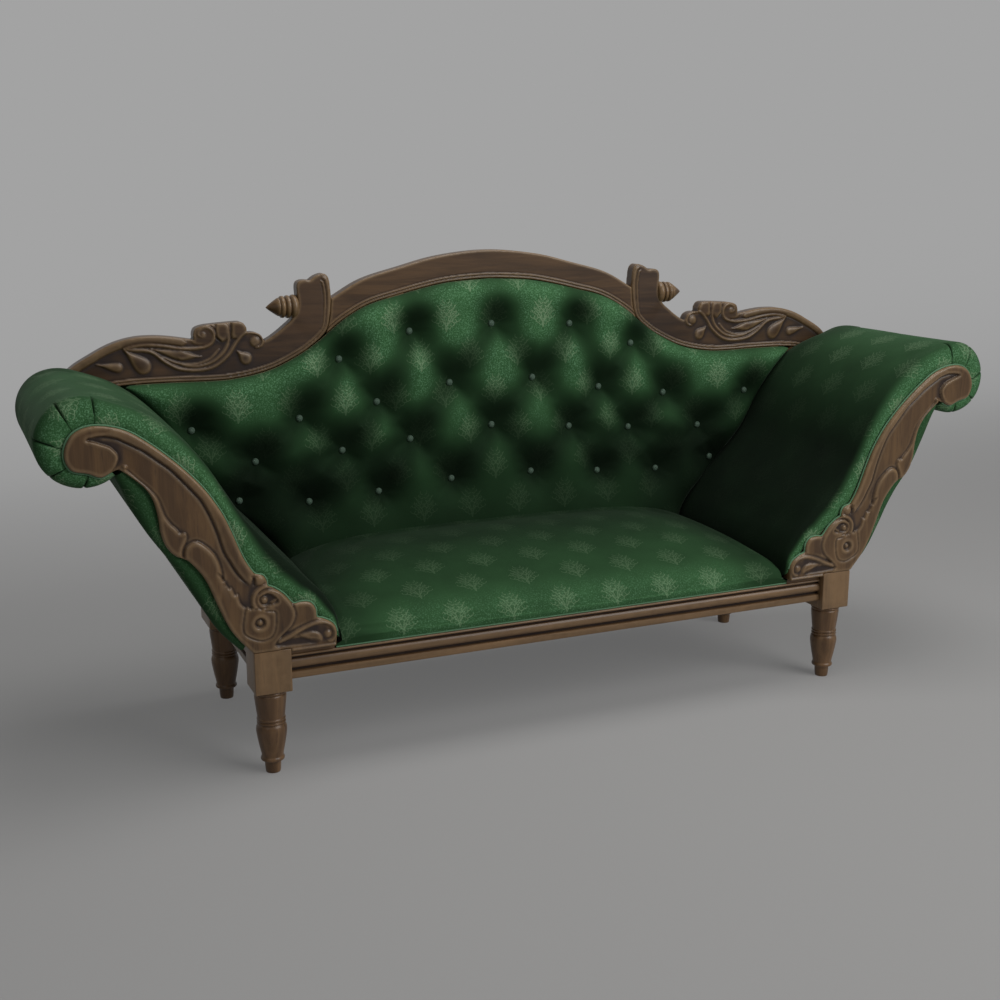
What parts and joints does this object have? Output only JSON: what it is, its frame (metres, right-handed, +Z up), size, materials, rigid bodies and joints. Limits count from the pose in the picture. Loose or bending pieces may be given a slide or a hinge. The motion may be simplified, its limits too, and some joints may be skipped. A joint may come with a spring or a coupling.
{
  "type": "settee",
  "caption": "Double-ended scroll-arm settee with carved show wood, turned legs, a sprung seat and a tall buttoned back with an arched crest.",
  "frame": {"origin": "on the floor under the middle of the settee's bounding box", "axes": "+X along the length to the right-hand arm, seen from the front; +Y towards the back; +Z up"},
  "size_m": [2.4136, 0.609, 1.115],
  "materials": {
    "show_wood": "semi-gloss antique walnut with a dark glaze in the carving",
    "frame_wood": "unfinished beech",
    "damask": "deep green damask velvet with pale bouquets",
    "piping": "pale green cord, and the covered buttons",
    "jute": "jute webbing and hessian",
    "spring_steel": "plain wire",
    "dust_cloth": "black cambric"
  },
  "bodies": {
    "root": {"leg_front_right": "show_wood", "leg_front_left": "show_wood", "leg_rear_right": "show_wood", "leg_rear_left": "show_wood", "front_seat_rail": "show_wood", "end_seat_rail_right": "show_wood", "end_seat_rail_left": "show_wood", "rear_seat_rail": "show_wood", "corner_block_front_right": "frame_wood", "corner_block_front_left": "frame_wood", "corner_block_rear_right": "frame_wood", "corner_block_rear_left": "frame_wood", "seat_brace_right": "frame_wood", "seat_brace_left": "frame_wood", "seat_webbing": "jute", "seat_springs": "spring_steel", "seat_hessian": "jute", "dust_cover": "dust_cloth", "seat_cushion": "damask", "seat_piping": "piping", "arm_facade_right": "show_wood", "arm_facade_left": "show_wood", "arm_pad_right": "damask", "arm_pad_left": "damask", "arm_outer_panel_right": "damask", "arm_outer_panel_left": "damask", "arm_front_board_right": "frame_wood", "arm_front_board_left": "frame_wood", "arm_rear_board_right": "show_wood", "arm_rear_board_left": "show_wood", "arm_roll_rail_right": "frame_wood", "arm_roll_rail_left": "frame_wood", "arm_slat_right": "frame_wood", "arm_slat_left": "frame_wood", "arm_piping_right": "piping", "arm_piping_left": "piping", "shoulder_rail_right": "show_wood", "shoulder_rail_left": "show_wood", "crest_rail": "show_wood", "finial_right": "show_wood", "finial_left": "show_wood", "back_bottom_rail": "frame_wood", "back_stile_right": "frame_wood", "back_stile_left": "frame_wood", "back_hessian": "jute", "back_cushion": "damask", "back_cover": "damask"}
  },
  "joints": []
}
